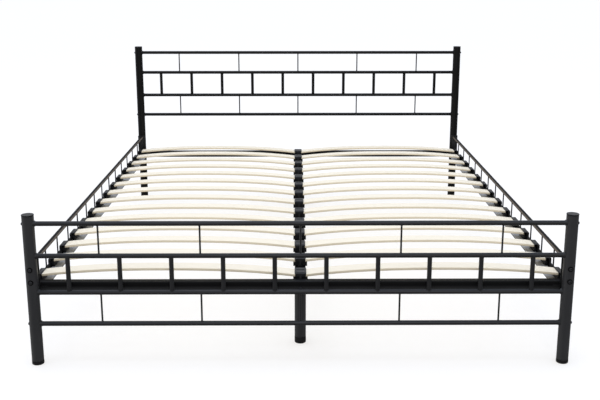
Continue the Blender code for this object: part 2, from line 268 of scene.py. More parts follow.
PLASTIC = black_plastic()
for end, side in POST:
    node = f"{end}_post_cap_{side}"
    low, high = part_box(node)
    brim = (high.x - low.x) / 2 + COAT_BUILD
    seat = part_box(f"{end}_post_{side}")[1].z + PLUG_GAP
    plug = POST_RADIUS - TUBE_WALL - PLUG_GAP
    profile = [(0, low.z), (plug - DEBURR, low.z), (plug, low.z + DEBURR), (plug, seat)]
    profile += [(POST_RADIUS - 3 * DEBURR, seat), (POST_RADIUS - 3 * DEBURR, seat + CAP_GROOVE)]
    profile += [(brim - DEBURR, seat + CAP_GROOVE)]
    profile += arc((brim - CAP_ROUND, high.z - CAP_ROUND), CAP_ROUND, 0, 90, 5)
    profile += [(brim * CAP_FLAT, high.z - CAP_DISH), (0, high.z)]
    bm = turned(profile, POST_STEPS)
    centre = POST[end, side]
    shift(bm, (centre.x, centre.y, 0))
    finish_piece(f"cap_{end}_{side}", bm, [PLASTIC], [node])


# ---- Plastic feet ----------------------------------------------------------------------------------------
# Moulded feet, pushed into the bottoms of the posts and of the centre legs. Each has a collar as wide as
# the tube with a groove at the seam, and a well rounded edge where it meets the floor.

PAD_ROUND = 0.0032
PAD_GROOVE = 0.0010
PAD_HOLLOW = 0.0012
PAD_HOLLOW_REACH = 0.55
PAD_SEAT_REACH = 0.60


def pad(name, node, tube):
    """One plastic foot, from its hollow underneath to the plug inside the tube named."""
    low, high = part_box(node)
    radius = (high.x - low.x) / 2
    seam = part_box(tube)[0].z - PLUG_GAP
    plug = POST_RADIUS - TUBE_WALL - PLUG_GAP
    neck = POST_RADIUS - PAD_GROOVE
    profile = [(0, PAD_HOLLOW), (radius * PAD_HOLLOW_REACH, PAD_HOLLOW), (radius * PAD_SEAT_REACH, 0.0)]
    profile += arc((radius - PAD_ROUND, PAD_ROUND), PAD_ROUND, -90, 0, 6)
    profile += [(radius, seam - 2 * PAD_GROOVE), (radius - DEBURR, seam - PAD_GROOVE)]
    profile += [(neck, seam - PAD_GROOVE), (neck, seam), (plug, seam), (plug, high.z - DEBURR)]
    profile += [(plug - DEBURR, high.z), (0, high.z)]
    bm = turned(profile, POST_STEPS)
    centre = middle(node)
    shift(bm, (centre.x, centre.y, 0))
    finish_piece(name, bm, [PLASTIC], [node])


for end, side in POST:
    pad(f"foot_{end}_{side}", f"{end}_post_pad_{side}", f"{end}_post_{side}")
for end in ENDS:
    pad(f"leg_foot_{end}", f"{end}_centre_leg_pad", f"{end}_centre_leg")


# ---- Head and foot grids ---------------------------------------------------------------------------------
# Four round rails between the posts, ten short bars between the middle two, and thin rods above and below.
# All of it is welded with small beads and coated as one piece. The rail ends flare into saddles on posts.

RAIL_STEPS = 32
BAR_STEPS = 24
ROD_STEPS = 12
RAIL_RADIUS = 0.0071
BAR_RADIUS = 0.0067
ROD_RADIUS = 0.0025
BAR_PITCH = 0.1565
BAR_COUNT = 10
GRID_RODS = (-0.6085, -0.3030, 0.0, 0.3030, 0.6085)
RAIL_LIFTS = (0.0, 0.1015, 0.2180, 0.3195)
BEAD = 0.0011
SADDLE_LENGTH = 0.0090
SADDLE_FLARE = 0.0042


def rod(bm, start, end, radius, steps):
    """A closed round rod from start to end."""
    axis = Vector(end) - Vector(start)
    turn = axis.to_track_quat("Z", "Y").to_matrix().to_4x4()
    matrix = Matrix.Translation((Vector(start) + Vector(end)) / 2) @ turn
    bmesh.ops.create_cone(
        bm, cap_ends=True, segments=steps, radius1=radius, radius2=radius, depth=axis.length, matrix=matrix
    )


def join(bm, other):
    """Adds another bmesh's shape to bm."""
    mesh = bpy.data.meshes.new("join")
    other.to_mesh(mesh)
    other.free()
    bm.from_mesh(mesh)
    bpy.data.meshes.remove(mesh)


def flat_bead(radius, steps):
    """The weld round an upright of this radius where it stands on a flat face, at the origin."""
    return turned([(radius + BEAD * cos(k * pi / 3), BEAD * sin(k * pi / 3)) for k in range(6)], steps)


def rail_bead(radius, rail_radius, steps):
    """The same weld, wrapped over a level rail along X whose middle line is at the origin."""
    ring = flat_bead(radius, steps)
    for vert in ring.verts:
        across = min(abs(vert.co.y), rail_radius * 0.98)
        vert.co.z += sqrt(rail_radius**2 - across**2)
    return ring


def add_bead(bm, place, radius, rail_radius, steps, upward, along_y=False):
    """Adds the weld at an upright's lower end, or at its upper end when upward is false."""
    ring = rail_bead(radius, rail_radius, steps)
    if along_y:
        bmesh.ops.rotate(ring, verts=ring.verts, cent=(0, 0, 0), matrix=Matrix.Rotation(pi / 2, 3, "Z"))
    if not upward:
        bmesh.ops.scale(ring, verts=ring.verts, vec=(1, 1, -1))
    shift(ring, place)
    join(bm, ring)


def add_saddle(bm, place, inward):
    """The flare at a rail's end: wide at the post and down to the rail's own radius along X."""
    profile = [(RAIL_RADIUS + SADDLE_FLARE * (1 - k / 4) ** 2, SADDLE_LENGTH * k / 4) for k in range(5)]
    saddle = turned([(0, 0)] + profile + [(0, SADDLE_LENGTH)], RAIL_STEPS)
    turn = Matrix.Rotation(inward * pi / 2, 3, "Y")
    bmesh.ops.rotate(saddle, verts=saddle.verts, cent=(0, 0, 0), matrix=turn)
    for vert in saddle.verts:
        if abs(vert.co.x) < 1e-6:
            vert.co.x -= inward * (POST_RADIUS - sqrt(POST_RADIUS**2 - vert.co.y**2))
    shift(saddle, place)
    join(bm, saddle)


# The head grid shares the head end's darker copy of the coat, which is painted shade.
GRID_COAT = {"foot": powder_coat("black_coat_grid", 0.0120, 0.27), "head": COAT["head"]}
for end in ENDS:
    node = f"{end}board_grid"
    low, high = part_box(node)
    y = (low.y + high.y) / 2
    rails = [low.z + RAIL_RADIUS + lift for lift in RAIL_LIFTS]
    bm = bmesh.new()
    for height in rails:
        ends = (low.x + DEBURR, y, height), (high.x - DEBURR, y, height)
        rod(bm, *ends, RAIL_RADIUS + COAT_BUILD, RAIL_STEPS)
        add_saddle(bm, (low.x, y, height), 1)
        add_saddle(bm, (high.x, y, height), -1)
    uprights = [(k - (BAR_COUNT - 1) / 2) * BAR_PITCH for k in range(BAR_COUNT)]
    spans = [(x, 1, BAR_RADIUS + COAT_BUILD, BAR_STEPS) for x in uprights]
    spans += [(x, row, ROD_RADIUS + COAT_BUILD, ROD_STEPS) for x in GRID_RODS for row in (0, 2)]
    for x, row, radius, steps in spans:
        rod(bm, (x, y, rails[row]), (x, y, rails[row + 1]), radius, steps)
        add_bead(bm, (x, y, rails[row]), radius, RAIL_RADIUS, steps, True)
        add_bead(bm, (x, y, rails[row + 1]), radius, RAIL_RADIUS, steps, False)
    finish_piece(f"grid_{end}", bm, [GRID_COAT[end]], [node])


# ---- Side rails ------------------------------------------------------------------------------------------
# A pressed steel angle with its upright leg outside carries the slats. A round tube runs above it on thin
# rods, one in each gap between slats, and a drilled plate at each end takes the bolts. Welded, then coated.

ANGLE = 0.0030
ANGLE_TOP = 0.2620
FLANGE_TOP = 0.2460
PLATE = 0.0040
SIDE_TUBE_HEIGHT = 0.3247
PLATE_HALF = 0.0180
COATED_STRIP = 0.0045
PALE_END = abs(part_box("foot_cross_rail")[1].y) - 0.004
SLAT_COUNT = 14
SLAT_PITCH = 0.1447
GAP_PLACES = [(k - (SLAT_COUNT - 2) / 2) * SLAT_PITCH for k in range(SLAT_COUNT - 1)]
SIDE_X = abs(POST["foot", "left"].x)
# Where the painted reflection of the slats along the side tube's inner side starts, and where it is full.
BAND_START = SIDE_X - 0.0042
BAND_FULL = SIDE_X - 0.0056


def add_box(bm, low, high, rounding, segments=2):
    """A box between two corners, with all its edges rounded."""
    part = bmesh.new()
    size = Vector(high) - Vector(low)
    matrix = Matrix.Translation((Vector(low) + Vector(high)) / 2) @ Matrix.Diagonal((*size, 1.0))
    bmesh.ops.create_cube(part, size=1.0, matrix=matrix)
    bmesh.ops.bevel(
        part, geom=part.edges, offset=rounding, segments=segments, profile=0.5, affect="EDGES", material=-1
    )
    join(bm, part)


def drawn(outline, start, end, rounding):
    """A bmesh drawn along Y from an (x, z) outline, with rounded edges."""
    bm = bmesh.new()
    face = bm.faces.new([bm.verts.new((x, start, z)) for x, z in outline])
    made = bmesh.ops.extrude_face_region(bm, geom=[face])["geom"]
    shift(bm, (0, end - start, 0), [item for item in made if isinstance(item, bmesh.types.BMVert)])
    bmesh.ops.bevel(
        bm, geom=bm.edges, offset=rounding, segments=2, profile=0.5, affect="EDGES", material=-1
    )
    return bm


def flip_x(bm):
    bmesh.ops.scale(bm, verts=bm.verts, vec=(-1, 1, 1))


def pale_flange_face():
    """The flange's upper face: a dull pale grey, much lighter than the coat, with a faint spangle, and
    coated near its ends.
    """
    material, surface, place = start_material("pale_flange_face")
    spangle = place.noise(240.0, 3.0, 0.65)
    drag = place.stretch((500.0, 12.0, 500.0)).noise(1.0, 3.0)
    dust = place.noise(1900.0, 2.0).ramp(0.60, 0.80)
    tone = place.mix(spangle, (0.27, 0.27, 0.265, 1), (0.38, 0.38, 0.372, 1))
    tone = place.mix(drag * 0.25 + dust * 0.2, tone, (0.17, 0.17, 0.166, 1))
    coated = (place.part("Y").unsigned() + drag * 0.004).ramp(PALE_END, PALE_END + 0.002)
    tone = place.mix(coated, tone, (0.0060, 0.0060, 0.0062, 1))
    place.feed(surface, {
        "Base Color": tone,
        "Metallic": 0.25,
        "Roughness": 0.42 + spangle * 0.12,
        "Specular IOR Level": 0.50,
        "Normal": (spangle + drag * 0.4).bump(0.08, 0.0001),
    })
    return material


def coat_with_painted_reflection():
    """The coat along the tube: low in shine, with a painted reflection of the slats, a brownish grey along
    its inner side.
    """
    material, surface, place = start_material("black_coat_painted_reflection")
    streak = place.stretch((300.0, 40.0, 300.0)).noise(1.0, 3.0)
    # The band on the tube's inner side, with a ragged edge, that carries the painted reflection.
    inner = (place.part("X").unsigned() + streak * 0.0006).ramp(BAND_START, BAND_FULL)
    cloud = place.noise(14.0, 3.0)
    peel = place.noise(700.0, 2.0)
    tone = place.mix(cloud, (0.0070, 0.0068, 0.0068, 1), (0.0105, 0.0100, 0.0098, 1))
    # Painted reflection: the slats' warm brown seen in the tube's inner side.
    tone = place.mix(inner * 0.9, tone, (0.125, 0.104, 0.083, 1))
    place.feed(surface, {
        "Base Color": tone,
        "Roughness": 0.48 + streak * 0.10,
        "Specular IOR Level": 0.03,
        "Normal": (peel + streak * 0.4).bump(0.10, 0.0002),
    })
    return material


PALE_FLANGE = pale_flange_face()
PAINTED_REFLECTION_COAT = coat_with_painted_reflection()
SIDE_COAT = powder_coat("black_coat_side", 0.0095, 0.14)
for side in SIDES:
    node = f"side_rail_{side}"
    low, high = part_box(node)
    leg_outer = -SIDE_X - ANGLE / 2
    flange_inner = -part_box("side_rail_left")[1].x
    angle = [
        (leg_outer, FLANGE_TOP - ANGLE),
        (-flange_inner, FLANGE_TOP - ANGLE),
        (-flange_inner, FLANGE_TOP),
        (leg_outer + ANGLE + COATED_STRIP, FLANGE_TOP),
        (leg_outer + ANGLE, FLANGE_TOP),
        (leg_outer + ANGLE, ANGLE_TOP),
        (leg_outer, ANGLE_TOP),
    ]
    reach = high.y - PLATE
    bm = drawn(angle, -reach, reach, DEBURR)
    rod(bm, (-SIDE_X, -reach, SIDE_TUBE_HEIGHT), (-SIDE_X, reach, SIDE_TUBE_HEIGHT), RAIL_RADIUS, RAIL_STEPS)
    for y in GAP_PLACES:
        rod(bm, (-SIDE_X, y, ANGLE_TOP - ANGLE), (-SIDE_X, y, SIDE_TUBE_HEIGHT), ROD_RADIUS, ROD_STEPS)
        add_bead(bm, (-SIDE_X, y, SIDE_TUBE_HEIGHT), ROD_RADIUS, RAIL_RADIUS, ROD_STEPS, False, along_y=True)
        add_bead(bm, (-SIDE_X, y, ANGLE_TOP - ANGLE), ROD_RADIUS, ANGLE, ROD_STEPS, True, along_y=True)
    for sign in (-1, 1):
        near, far = sorted((sign * high.y, sign * reach))
        corner = (-SIDE_X - PLATE_HALF, near, low.z)
        add_box(bm, corner, (-SIDE_X + PLATE_HALF, far, high.z), 2 * DEBURR)
    bmesh.ops.recalc_face_normals(bm, faces=bm.faces)
    for item in bm.faces:
        spot = item.calc_center_median()
        on_top = item.normal.z > 0.9 and abs(spot.z - FLANGE_TOP) < DEBURR
        if on_top and spot.x > leg_outer + ANGLE + COATED_STRIP:
            item.material_index = 1
        elif spot.z > SIDE_TUBE_HEIGHT - RAIL_RADIUS and abs(spot.y) < reach - PLATE:
            # The tube takes the coat with the painted reflection of the slats.
            item.material_index = 2
    if side == "right":
        flip_x(bm)
    finish_piece(f"rail_{side}", bm, [SIDE_COAT, PALE_FLANGE, PAINTED_REFLECTION_COAT], [node])


# ---- Side rail bolts -------------------------------------------------------------------------------------
# Button-head socket bolts, blackened. A pair goes through each post and the side rail's end plate, on to a
# tapped nut plate that both bolts share. A thin washer sits under each head.

BOLT_STEPS = 24
BOLT_HEIGHTS = (0.2700, 0.3100)
BOLT_SHANK = 0.0040
SOCKET = 0.0029
DOME_RADIUS = 0.0052
WASHER = 0.0012
WASHER_RADIUS = 0.0082
WASHER_SECTION = [(BOLT_SHANK, 0), (WASHER_RADIUS, 0), (WASHER_RADIUS, WASHER), (BOLT_SHANK, WASHER)]
HEAD_SKIRT = 0.28
SOCKET_FLOOR = 0.35


def black_zinc():
    """Blackened steel: dark, a little metallic, with fine turning marks and an uneven sheen."""
    material, surface, place = start_material("black_zinc")
    stain = place.noise(160.0, 3.0)
    marks = place.stretch((300.0, 2400.0, 2400.0)).noise(1.0, 2.0)
    tone = place.mix(stain, (0.010, 0.010, 0.011, 1), (0.022, 0.022, 0.025, 1))
    place.feed(surface, {
        "Base Color": tone,
        "Metallic": 0.35,
        "Roughness": 0.30 + stain * 0.16,
        "Specular IOR Level": 0.40,
        "Normal": marks.bump(0.08, 0.0001),
    })
    return material


ZINC = black_zinc()


def button_head(radius, height, socket):
    """A domed bolt head about Z, with its flat under side at z = 0 and a hexagon socket in the top."""
    rise = height * (1 - HEAD_SKIRT)
    dome = [(x, z) for x, z in arc((0, 0), 1.0, 0, 63, 7) if radius * x > socket * 1.3]
    dome = [(radius * x, height * HEAD_SKIRT + rise * z) for x, z in dome]
    floor = height * SOCKET_FLOOR
    rim = dome[-1][1] + height * 0.05
    ring = [(0, 0), (radius * 0.94, 0), (radius, height * 0.12)] + dome
    ring += [(socket * 1.12, rim), (socket, rim - DEBURR), (socket, floor), (0, floor)]
    bm = turned(ring, BOLT_STEPS)
    for vert in bm.verts:
        reach = vert.co.xy.length
        if 0 < reach < socket * 1.05 and vert.co.z >= floor - 1e-6:
            turn = (vert.co.xy.angle_signed(Vector((1, 0))) + pi / 6) % (pi / 3) - pi / 6
            vert.co.xy *= cos(pi / 6) / cos(turn)
    return bm


def aim(bm, place, axis):
    """Turns a part made about Z to face along axis, and puts it at place."""
    turn = Vector(axis).to_track_quat("Z", "Y").to_matrix()
    bmesh.ops.rotate(bm, verts=bm.verts, cent=(0, 0, 0), matrix=turn)
    shift(bm, place)


def washer_painted_shade():
    """A near-black ring under the bolt head, darker than the bolt: painted shade for the dark ring round
    each head.
    """
    material, surface, place = start_material("washer_painted_shade")
    grain = place.noise(2200.0, 2.0)
    tone = place.mix(grain, (0.0009, 0.0009, 0.0010, 1), (0.0020, 0.0020, 0.0022, 1))
    place.feed(surface, {
        "Base Color": tone,
        "Roughness": 0.70 + grain * 0.15,
        "Specular IOR Level": 0.10,
        "Normal": grain.bump(0.15, 0.0001),
    })
    return material


WASHER_SHADE = washer_painted_shade()
for end, side in POST:
    node = f"{end}_rail_bolts_{side}"
    low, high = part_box(node)
    out = 1 if end == "head" else -1
    post = POST[end, side]
    face = post.y + out * (POST_RADIUS + PLUG_GAP)
    tip = low.y if out > 0 else high.y
    head = abs((high.y if out > 0 else low.y) - face)
    bm = bmesh.new()
    for height in BOLT_HEIGHTS:
        washer = turned(WASHER_SECTION, BOLT_STEPS)
        for vert in washer.verts:
            if vert.co.z < WASHER / 2:
                vert.co.z -= POST_RADIUS - sqrt(POST_RADIUS**2 - vert.co.x**2)
        # The washer takes the near-black material, painted shade round the head.
        for item in washer.faces:
            item.material_index = 1
        aim(washer, (post.x, face, height), (0, out, 0))
        join(bm, washer)
        cap = button_head(DOME_RADIUS, head - WASHER, SOCKET)
        aim(cap, (post.x, face + out * WASHER, height), (0, out, 0))
        join(bm, cap)
        rod(bm, (post.x, face, height), (post.x, tip + out * DEBURR, height), BOLT_SHANK, BOLT_STEPS)
    plate_face = post.y - out * (POST_RADIUS + 2 * PLUG_GAP + PLATE)
    near, far = sorted((plate_face, plate_face - out * PLATE))
    add_box(bm, (low.x, near, low.z), (high.x, far, high.z), 2 * DEBURR)
    finish_piece(f"rail_bolts_{end}_{side}", bm, [ZINC, WASHER_SHADE], [node])


# ---- Grid bolts ------------------------------------------------------------------------------------------
# Smaller blackened button-head bolts, put through each post from outside and into the tapped ends of a
# grid's top and bottom rails. They draw the rails' saddles up to the post.

GRID_HEAD = 0.0048
GRID_HEAD_HEIGHT = 0.0042
GRID_SOCKET = 0.0018

for end, side in POST:
    post = POST[end, side]
    out = -1 if side == "left" else 1
    low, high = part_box(f"{end}board_grid")
    bm = bmesh.new()
    for height in (low.z + RAIL_RADIUS, high.z - RAIL_RADIUS):
        cap = button_head(GRID_HEAD, GRID_HEAD_HEIGHT, GRID_SOCKET)
        aim(cap, (post.x + out * (POST_RADIUS - DEBURR / 2), post.y, height), (out, 0, 0))
        join(bm, cap)
    finish_piece(f"grid_bolts_{end}_{side}", bm, [ZINC])


# ---- Cross rails -----------------------------------------------------------------------------------------
# Rectangular steel tube across each end, just inside the posts, coated with the rest. A bolt in the middle
# of the outer face holds the centre beam.

CORNER = 0.0028
BEAM_BOLT_HEAD = 0.0062
# Where the painted light along the flat faces' lower edge, reflected up from the grid rail in front, starts
# and is full.
LOW_LIGHT_START = 0.2470
LOW_LIGHT_FULL = 0.2350


def box_tube(low, high, axis, rounding):
    """A rectangular tube between two corners, open at both ends, with its four long edges rounded."""
    bm = bmesh.new()
    size = high - low
    matrix = Matrix.Translation((low + high) / 2) @ Matrix.Diagonal((*size, 1.0))
    bmesh.ops.create_cube(bm, size=1.0, matrix=matrix)
    long_edges = [e for e in bm.edges if abs((e.verts[0].co - e.verts[1].co)[axis]) > size[axis] / 2]
    bmesh.ops.bevel(
        bm, geom=long_edges, offset=rounding, segments=4, profile=0.5, affect="EDGES", material=-1
    )
    bmesh.ops.recalc_face_normals(bm, faces=bm.faces)
    ends = [face for face in bm.faces if abs(face.normal[axis]) > 0.9]
    bmesh.ops.inset_region(bm, faces=ends, thickness=TUBE_WALL, use_even_offset=True)
    bmesh.ops.bridge_loops(bm, edges=[edge for face in ends for edge in face.edges])
    bmesh.ops.delete(bm, geom=ends, context="FACES_ONLY")
    return bm


def flat_coat_painted_light():
    """Flat sections' coat: darker, as painted shade, with faint drawing lines and a painted-light lower
    edge.
    """
    material, surface, place = start_material("flat_coat_painted_light")
    cloud = place.noise(11.0, 3.0)
    lines = place.stretch((4.0, 4.0, 420.0)).noise(1.0, 2.0)
    peel = place.noise(600.0, 2.0)
    low_edge_light = (place.part("Z") + cloud * 0.004).ramp(LOW_LIGHT_START, LOW_LIGHT_FULL)
    # The dark base is painted shade: a darker copy of the frame's black coat.
    tone = place.mix(cloud, (0.0024, 0.0024, 0.0026, 1), (0.0046, 0.0045, 0.0046, 1))
    # Painted light: the lower edge lightened as if lit from the grid rail just in front.
    tone = place.mix(low_edge_light, tone, (0.0300, 0.0300, 0.0302, 1))
    place.feed(surface, {
        "Base Color": tone,
        "Roughness": 0.46 + cloud * 0.08,
        "Specular IOR Level": 0.09,
        "Normal": (peel + lines * 0.5).bump(0.08, 0.0002),
    })
    return material


FLAT_COAT_PAINTED_LIGHT = flat_coat_painted_light()
for end in ENDS:
    node = f"{end}_cross_rail"
    low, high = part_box(node)
    bm = box_tube(low, high, 0, CORNER)
    finish_piece(f"cross_rail_{end}", bm, [FLAT_COAT_PAINTED_LIGHT], [node])
    out = 1 if end == "head" else -1
    face = high.y if out > 0 else low.y
    beam = middle("centre_beam")
    cap = button_head(BEAM_BOLT_HEAD, GRID_HEAD_HEIGHT, SOCKET)
    aim(cap, (0, face - out * DEBURR / 2, beam.z), (0, out, 0))
    finish_piece(f"beam_bolt_{end}", cap, [ZINC])


# ---- Centre beam -----------------------------------------------------------------------------------------
# A rectangular steel tube from cross rail to cross rail, coated like them. It carries the double slat
# holders, and one bolt through each cross rail holds it.

low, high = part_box("centre_beam")
bm = box_tube(low, high, 1, CORNER)
finish_piece("beam", bm, [FLAT_COAT_PAINTED_LIGHT], ["centre_beam"])


# ---- Centre legs -----------------------------------------------------------------------------------------
# The same round tube as the posts, welded to a flat plate under the beam, near each end of it. Two
# low-headed screws hold the plate.

LEG_PLATE = 0.0030
SCREW_HEAD = 0.0042
SCREW_REACH = 0.42

for end in ENDS:
    node = f"{end}_centre_leg"
    low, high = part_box(node)
    centre = (low + high) / 2
    plate_low = high.z - LEG_PLATE
    bm = turned(tube_profile(POST_RADIUS + COAT_BUILD, low.z, plate_low + DEBURR), POST_STEPS)
    shift(bm, (centre.x, centre.y, 0))
    add_box(bm, (low.x, low.y, plate_low), tuple(high), DEBURR * 2)
    ring = flat_bead(POST_RADIUS, POST_STEPS)
    shift(ring, (centre.x, centre.y, plate_low))
    join(bm, ring)
    finish_piece(f"leg_{end}", bm, [COAT[end]], [node])
    screws = bmesh.new()
    for sign in (-1, 1):
        cap = button_head(SCREW_HEAD, SCREW_HEAD / 3, GRID_SOCKET)
        y = centre.y + sign * (high.y - low.y) * SCREW_REACH
        aim(cap, (centre.x, y, plate_low + DEBURR / 2), (0, 0, -1))
        join(screws, cap)
    finish_piece(f"leg_screws_{end}", screws, [ZINC])


# ---- Side slat holders -----------------------------------------------------------------------------------
# One plastic moulding for each slat end. It clips over the angle's upright leg, stands on the flange, and
# takes the slat's end between a floor, two cheeks and a humped roof.

SLAT_PLACES = [(k - (SLAT_COUNT - 1) / 2) * SLAT_PITCH for k in range(SLAT_COUNT)]
HOLDER_LENGTH = 0.0570
SLAT_WIDTH = 0.0530
POCKET_LOW = 0.2616
POCKET_HIGH = 0.2716
HOLDER_ROUND = 0.0007
FIT = 0.0003
SLAT_TIP = -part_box("slat_left_01")[0].x
SLAT_ROOT = -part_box("slat_left_01")[1].x
MOUTH = SIDE_X - 0.0125
CHEEK = (HOLDER_LENGTH - SLAT_WIDTH) / 2 - FIT
CHEEK_ROUND = 0.0005
CHEEK_SINK = 0.0006
SKIRT_REACH = 0.0065
SKIRT_LIFT = 0.0060
FLOOR_INSET = 0.0020
ROOF = 0.0008
ROOF_EDGE = 0.0006
ROOF_INNER = 0.0060
ROOF_OUTER = 0.0045
ROOF_DROP = 0.0016
HUMP_FOOT = (-0.0060, 0.0036)
HUMP_TOP = (-0.0044, 0.0010)
HUMP_SINK = 0.0010
HUMP_RISE = 0.0014
HUMP_SPAN = (0.0050, 0.0030)
HUMP_ROUND = 0.0012


def side_holder(side):
    """The left holder for a slat at y = 0, or the right one."""
    wall = -SLAT_TIP - FIT
    clip = -SIDE_X + ANGLE / 2 + FIT
    back = -SIDE_X - ANGLE / 2 - FIT
    body = [
        (-SIDE_X - SKIRT_REACH, FLANGE_TOP + SKIRT_LIFT),
        (back, FLANGE_TOP + SKIRT_LIFT),
        (back, ANGLE_TOP + FIT),
        (clip, ANGLE_TOP + FIT),
        (clip, FLANGE_TOP + FIT),
        (-MOUTH + FLOOR_INSET, FLANGE_TOP + FIT),
        (-MOUTH + FLOOR_INSET, POCKET_LOW),
        (wall, POCKET_LOW),
        (wall, POCKET_HIGH),
        (-MOUTH, POCKET_HIGH),
        (-MOUTH, POCKET_HIGH + ROOF_EDGE),
        (-SIDE_X + ROOF_INNER, POCKET_HIGH + ROOF),
        (-SIDE_X - ROOF_OUTER, POCKET_HIGH + ROOF),
        (-SIDE_X - SKIRT_REACH, POCKET_HIGH - ROOF_DROP),
    ]
    half = HOLDER_LENGTH / 2
    bm = drawn(body, -half, half, HOLDER_ROUND)
    for sign in (-1, 1):
        near, far = sorted((sign * half, sign * (half - CHEEK)))
        low = (wall - HOLDER_ROUND, near, POCKET_LOW - CHEEK_SINK)
        add_box(bm, low, (-MOUTH, far, POCKET_HIGH + CHEEK_SINK), CHEEK_ROUND)
    hump = [(-SIDE_X + x, POCKET_HIGH - HUMP_SINK) for x in HUMP_FOOT]
    hump += [(-SIDE_X + x, POCKET_HIGH + HUMP_RISE) for x in reversed(HUMP_TOP)]
    for sign in (-1, 1):
        ends = sorted((sign * (half - HUMP_SPAN[1]), sign * HUMP_SPAN[0]))
        join(bm, drawn(hump, *ends, HUMP_ROUND))
    if side == "right":
        flip_x(bm)
    return bm


for side in SIDES:
    node = f"slat_holders_{side}"
    for number, y in enumerate(SLAT_PLACES, start=1):
        bm = side_holder(side)
        shift(bm, (0, y, 0))
        finish_piece(f"side_holder_{side}_{number:02d}", bm, [PLASTIC], [node])


# ---- Double slat holders ---------------------------------------------------------------------------------
# One plastic moulding for each pair of slats, stood on the centre beam: a broad foot with rounded ends, a
# web between the two slat ends, cheeks in front and behind with a rib and a lip, and a cover over both.

FOOT_HALF = 0.0226
COVER_HALF = 0.0180
CUP_LOW = 0.2580
CUP_HIGH = 0.2690
COVER_TOP = CUP_HIGH + 0.0025
MOULD_ROUND = 0.0011
COVER_INSET = 0.0010
CUP_SINK = 0.0030
WEB_ROUND = 0.0004
RIDGE_SPAN = (0.0090, 0.0205)
RIDGE_HALF = COVER_HALF * 0.72
RIDGE_SINK = 0.0006
RIDGE_RISE = 0.0007
LIP_LENGTH = 0.0040
LIP_HEIGHT = 0.0022
LIP_HALF = 0.0075
RIB_HALF = 0.0028
RIB_DROP = 0.0015


def double_holder():
    """The holder between a pair of slats at y = 0."""
    bm = bmesh.new()
    half = HOLDER_LENGTH / 2
    base = FLANGE_TOP + FIT
    add_box(bm, (-FOOT_HALF, -half, base), (FOOT_HALF, half, CUP_LOW), MOULD_ROUND)
    web = SLAT_ROOT - FIT
    add_box(bm, (-web, -half, CUP_LOW - CUP_SINK), (web, half, CUP_HIGH + COVER_INSET), WEB_ROUND)
    for sign in (-1, 1):
        near, far = sorted((sign * half, sign * (half - CHEEK)))
        low = (-COVER_HALF + COVER_INSET, near, CUP_LOW - CUP_SINK)
        add_box(bm, low, (COVER_HALF - COVER_INSET, far, CUP_HIGH + COVER_INSET), CHEEK_ROUND)
    add_box(bm, (-COVER_HALF, -half, CUP_HIGH), (COVER_HALF, half, COVER_TOP), MOULD_ROUND, 3)
    for sign in (-1, 1):
        near, far = sorted(sign * y for y in RIDGE_SPAN)
        low = (-RIDGE_HALF, near, COVER_TOP - RIDGE_SINK)
        add_box(bm, low, (RIDGE_HALF, far, COVER_TOP + RIDGE_RISE), CHEEK_ROUND)
        near, far = sorted((sign * (half + LIP_LENGTH), sign * (half - CHEEK)))
        add_box(bm, (-LIP_HALF, near, base), (LIP_HALF, far, base + LIP_HEIGHT), CHEEK_ROUND)
        rib = bmesh.new()
        toe = (half + LIP_LENGTH, base + LIP_HEIGHT)
        corners = [(half - CHEEK, base), toe, (half, COVER_TOP - RIB_DROP)]
        face = rib.faces.new([rib.verts.new((-RIB_HALF, sign * y, z)) for y, z in corners])
        made = bmesh.ops.extrude_face_region(rib, geom=[face])["geom"]
        shift(rib, (2 * RIB_HALF, 0, 0), [item for item in made if isinstance(item, bmesh.types.BMVert)])
        join(bm, rib)
    return bm


for number, y in enumerate(SLAT_PLACES, start=1):
    bm = double_holder()
    shift(bm, (0, y, 0))
    finish_piece(f"double_holder_{number:02d}", bm, [PLASTIC], ["slat_holders_centre"])


# ---- Slats -----------------------------------------------------------------------------------------------
# Birch plywood strips, glued up in a curved press, sanded, with the long edges eased and left bare. Seven
# plies show along the edges, every second one cut across the grain and so darker. The edge's lowest part is
# darker still: painted shade.

SLAT_THICKNESS = 0.0080
SLAT_CUTS = 27
SLAT_EASE = 0.0012
SLAT_END_HEIGHT = 0.2642
SLAT_END_TILT = 0.0018
SLAT_CROWN = 0.0213
SLAT_FLATNESS = 2.4
FACE_LEVEL = 0.72
PLIES = 7


def birch_face():
    """The rotary-cut top ply: pale, with a long soft figure, fine pores along it and a rare dark fleck."""
    material, surface, place = start_material("birch_face")
    figure = place.stretch((1.6, 26.0, 26.0)).noise(1.0, 4.0, 0.55)
    pores = place.stretch((26.0, 900.0, 900.0)).noise(1.0, 2.0)
    fleck = place.stretch((60.0, 420.0, 420.0)).noise(1.0, 1.0).ramp(0.70, 0.80)
    batch = place.stretch((0.6, 5.5, 0.6)).noise(1.0, 0.0)
    tone = place.mix(figure, (0.88, 0.80, 0.640, 1), (0.82, 0.725, 0.550, 1))
    tone = place.mix(batch * 0.5, tone, (0.86, 0.775, 0.605, 1))
    tone = place.mix(fleck * 0.28 + pores * 0.08, tone, (0.60, 0.50, 0.38, 1))
    place.feed(surface, {
        "Base Color": tone,
        "Roughness": 0.50 + pores * 0.12,
        "Specular IOR Level": 0.35,
        "Normal": (pores + figure * 0.4).bump(0.12, 0.0002),
    })
    return material


